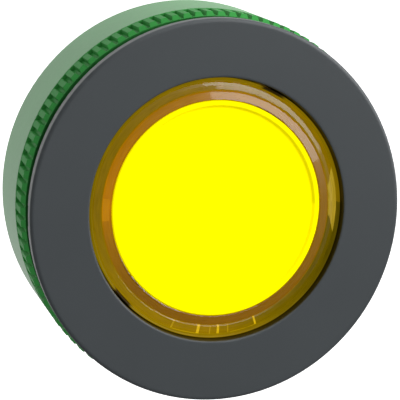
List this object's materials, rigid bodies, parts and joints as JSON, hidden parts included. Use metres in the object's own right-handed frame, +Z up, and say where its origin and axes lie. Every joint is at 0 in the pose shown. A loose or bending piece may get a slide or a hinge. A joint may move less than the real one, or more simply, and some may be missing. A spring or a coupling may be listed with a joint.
{
  "type": "illuminated push-button head",
  "caption": "Round flush push-button head with a lit face in a clear ring, a flat bezel, a threaded barrel and a ribbed fixing nut, for a round hole in a control panel.",
  "frame": {"origin": "on the button's axis, in the plane of the panel's front surface, which is the rear edge of the bezel", "axes": "+Y runs back along the axis into the panel, the face looks towards -Y, +Z is up and +X is to the right as the button is faced"},
  "size_m": [0.038, 0.0341, 0.038],
  "materials": {
    "bezel_ring": "satin dark grey",
    "barrel": "satin black",
    "seal": "matt black",
    "trim_plastic": "satin black",
    "bush": "natural acetal",
    "steel": "plain spring steel",
    "lens": "clear amber polycarbonate, polished",
    "face_insert": "translucent yellow, lit",
    "carrier": "white",
    "spreader": "frosted",
    "nut": "satin green"
  },
  "bodies": {
    "housing": {"bezel_ring": "bezel_ring", "barrel": "barrel", "bezel_seal_ring": "seal", "panel_gasket": "seal", "locating_key": "trim_plastic", "boot_clamp_ring": "trim_plastic", "guide_bush": "bush", "stop_washer": "steel"},
    "button": {"lens": "lens", "face_insert": "face_insert", "lens_gasket": "seal", "lens_carrier": "carrier", "light_spreader": "spreader", "plunger_stem": "trim_plastic", "spring_cup": "steel", "retaining_clip": "steel", "actuator_ring": "bush", "boot_seal": "seal", "return_spring": "steel"},
    "washer": {"thrust_washer": "steel"},
    "nut": {"fixing_nut": "nut"}
  },
  "joints": [
    {"name": "press", "type": "slide", "parent": "housing", "child": "button", "axis": [0, 1, 0], "range_m": [0, 0.004], "stiffness_N_per_m": 600, "springref_m": -0.006, "deforming": ["return_spring", "boot_seal"]},
    {"name": "nut_travel", "type": "slide", "parent": "housing", "child": "washer", "axis": [0, 1, 0], "range_m": [0, 0.006]},
    {"name": "nut_turn", "type": "hinge", "parent": "washer", "child": "nut", "pos_m": [0, 0, 0], "axis": [0, 1, 0], "range_deg": [0, 1080]}
  ],
  "couplings": [
    {"joint": "nut_travel", "follows": "nut_turn", "m_per_rad": 0.0003183}
  ]
}
